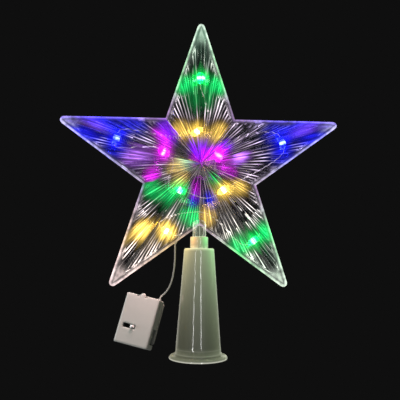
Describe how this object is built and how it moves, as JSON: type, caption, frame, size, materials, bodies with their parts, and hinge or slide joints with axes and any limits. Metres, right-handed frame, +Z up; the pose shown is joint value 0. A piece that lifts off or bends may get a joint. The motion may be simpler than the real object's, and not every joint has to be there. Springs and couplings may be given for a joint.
{
  "type": "star tree topper",
  "caption": "Clear fluted star on a stem and tapered base that slips over a tree's top shoot, lit from inside by coloured bead lights and fed by a coin cell box on a lead.",
  "frame": {"origin": "middle of the base's open mouth, on the underside of its flange", "axes": "+Z up along the stem, +X to the right seen from the front, +Y to the back; the star's seam lies in the plane Y = 0"},
  "size_m": [0.18, 0.0368, 0.216],
  "materials": {
    "frosted_plastic": "frosted translucent",
    "clear_plastic": "clear, polished and fluted",
    "bare_wire": "enamelled",
    "lead_jacket": "satin",
    "box_plastic": "satin moulded",
    "dark_plastic": "moulded",
    "knob_plastic": "moulded",
    "steel": "nickel plated",
    "bead_amber": "clear resin over a lit chip",
    "bead_green": "clear resin over a lit chip",
    "bead_pink": "clear resin over a lit chip",
    "bead_blue": "clear resin over a lit chip",
    "chip_phosphor": "phosphor"
  },
  "bodies": {
    "base": {"base_cone": "frosted_plastic"},
    "star": {"front_star_shell": "clear_plastic", "rear_star_shell": "clear_plastic", "string_wire": "bare_wire", "battery_lead": "lead_jacket", "bead_light_1": "bead_amber", "bead_light_2": "bead_green", "bead_light_3": "bead_pink", "bead_light_4": "bead_blue", "bead_light_5": "bead_amber", "bead_light_6": "bead_green", "bead_light_7": "bead_pink", "bead_light_8": "bead_blue", "bead_light_9": "bead_amber", "bead_light_10": "bead_green", "light_chip_1": "chip_phosphor", "light_chip_2": "chip_phosphor", "light_chip_3": "chip_phosphor", "light_chip_4": "chip_phosphor", "light_chip_5": "chip_phosphor", "light_chip_6": "chip_phosphor", "light_chip_7": "chip_phosphor", "light_chip_8": "chip_phosphor", "light_chip_9": "chip_phosphor", "light_chip_10": "chip_phosphor", "box_housing": "box_plastic", "switch_body": "dark_plastic", "switch_plate": "dark_plastic", "front_cell": "steel", "rear_cell": "steel", "spring_contact": "steel", "side_contact": "steel"},
    "door": {"battery_door": "box_plastic"},
    "knob": {"switch_knob": "knob_plastic"}
  },
  "joints": [
    {"name": "star_swivel", "type": "hinge", "parent": "base", "child": "star", "pos_m": [0, 0, 0.07], "axis": [0, 0, 1], "continuous": true},
    {"name": "door_hinge", "type": "hinge", "parent": "star", "child": "door", "pos_m": [-0.04003, 0.00568, 0.00788], "axis": [-0.9336, 0.3033, 0.1908], "range_deg": [0, 100]},
    {"name": "switch_slide", "type": "slide", "parent": "star", "child": "knob", "axis": [-0.9336, 0.3033, 0.1908], "range_m": [0, 0.004]}
  ]
}
